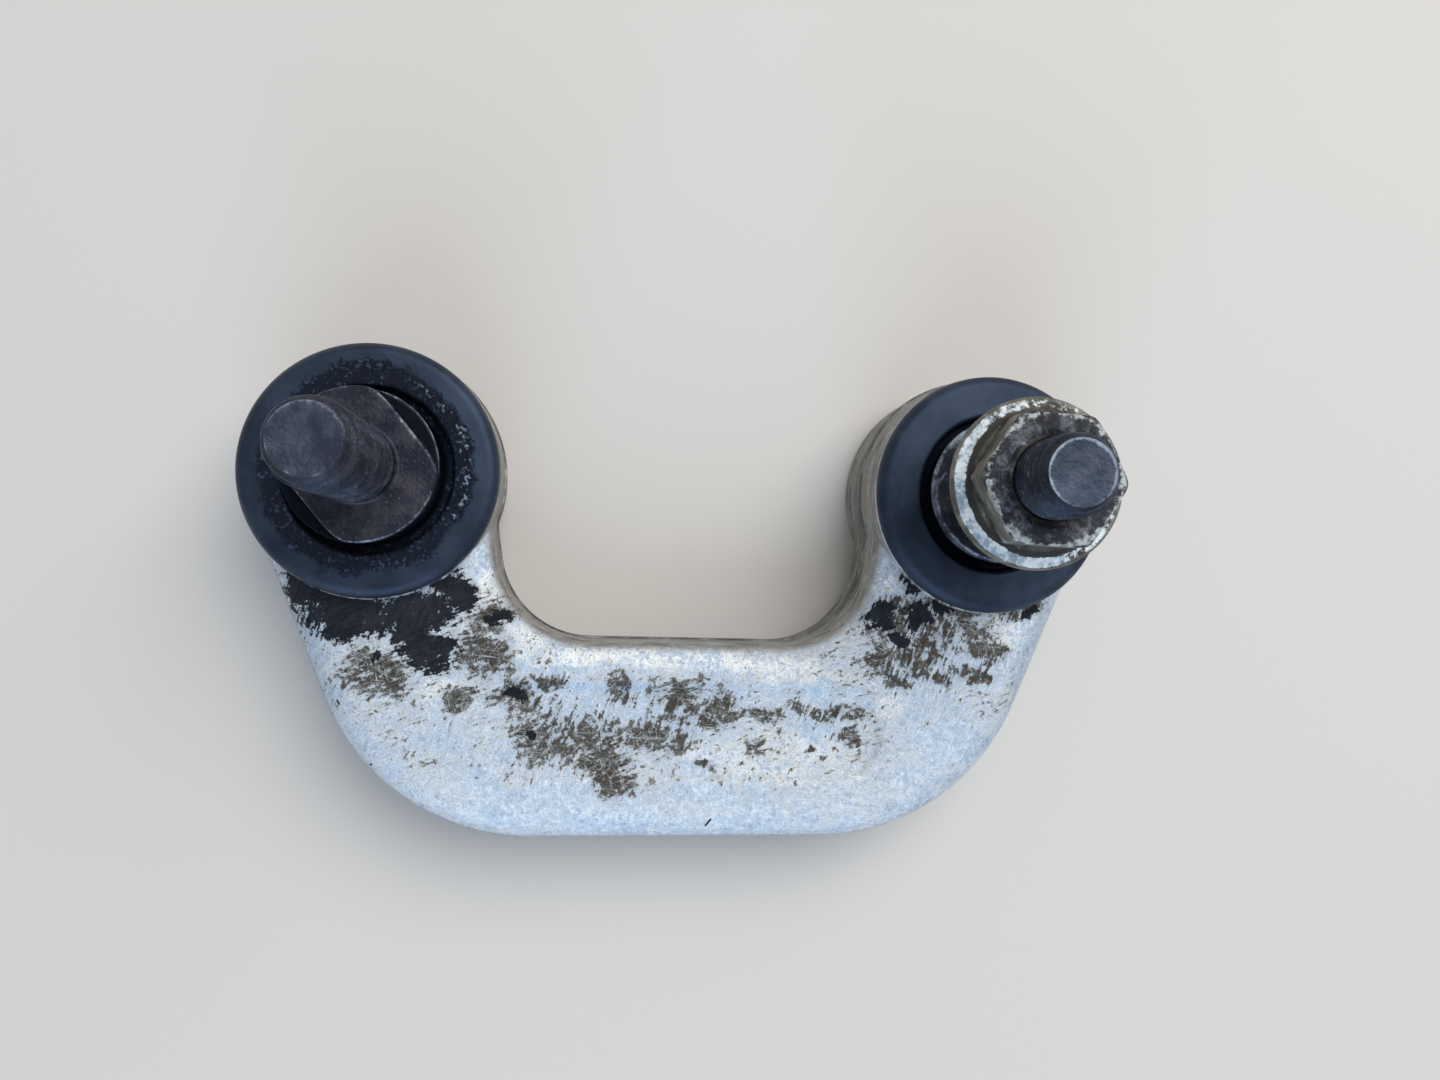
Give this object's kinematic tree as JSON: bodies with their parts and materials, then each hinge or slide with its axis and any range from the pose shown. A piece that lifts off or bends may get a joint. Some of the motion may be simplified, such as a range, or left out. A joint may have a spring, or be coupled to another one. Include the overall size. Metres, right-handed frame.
{
  "type": "anti-roll bar drop link",
  "caption": "C-shaped forged drop link with a ball joint at each end; both threaded studs stand out of one face and tilt in rubber boots, one carrying a flange nut.",
  "frame": {"origin": "middle of the part's outline, on the back face that it rests on", "axes": "+X from the left joint to the right joint, +Y towards the open side of the C, +Z along the upright left stud"},
  "size_m": [0.1236, 0.0687, 0.0558],
  "materials": {
    "forged_aluminium": "bead-blasted forging, weathered",
    "cap_steel": "zinc-plated sheet, dull",
    "stud_steel": "phosphated, dark",
    "nut_steel": "corroded zinc plating",
    "ring_steel": "spring steel",
    "boot_rubber": "black moulded rubber",
    "seat_plastic": "acetal, natural white"
  },
  "bodies": {
    "link": {"link_body": "forged_aluminium", "left_closing_cap": "cap_steel", "left_ball_seat": "seat_plastic", "left_boot_base_ring": "ring_steel", "right_closing_cap": "cap_steel", "right_ball_seat": "seat_plastic", "right_boot_base_ring": "ring_steel"},
    "left_swing": {"left_dust_boot": "boot_rubber"},
    "left_tilt": {"left_boot_neck_ring": "ring_steel"},
    "left_stud": {"left_ball_stud": "stud_steel"},
    "right_swing": {"right_dust_boot": "boot_rubber"},
    "right_tilt": {"right_boot_neck_ring": "ring_steel"},
    "right_stud": {"right_ball_stud": "stud_steel"},
    "nut": {"flange_nut": "nut_steel"}
  },
  "joints": [
    {"name": "left_swing_turn", "type": "hinge", "parent": "link", "child": "left_swing", "pos_m": [-0.044, 0.01655, 0.0108], "axis": [0, 0, 1], "continuous": true},
    {"name": "left_tilt_angle", "type": "hinge", "parent": "left_swing", "child": "left_tilt", "pos_m": [-0.044, 0.01655, 0.0108], "axis": [0, 1, 0], "range_deg": [-20, 20], "deforming": ["left_dust_boot"]},
    {"name": "left_stud_spin", "type": "hinge", "parent": "left_tilt", "child": "left_stud", "pos_m": [-0.044, 0.01655, 0.0108], "axis": [0, 0, 1], "continuous": true},
    {"name": "right_swing_turn", "type": "hinge", "parent": "link", "child": "right_swing", "pos_m": [0.044, 0.01655, 0.0108], "axis": [0, 0, 1], "continuous": true},
    {"name": "right_tilt_angle", "type": "hinge", "parent": "right_swing", "child": "right_tilt", "pos_m": [0.044, 0.01655, 0.0108], "axis": [0, 1, 0], "range_deg": [-14.4, 25.6], "deforming": ["right_dust_boot"]},
    {"name": "right_stud_spin", "type": "hinge", "parent": "right_tilt", "child": "right_stud", "pos_m": [0.044, 0.01655, 0.0108], "axis": [-0.0976, 0, 0.9952], "continuous": true},
    {"name": "nut_travel", "type": "slide", "parent": "right_stud", "child": "nut", "axis": [-0.0976, 0, 0.9952], "range_m": [-0.0108, 0.0167]}
  ]
}
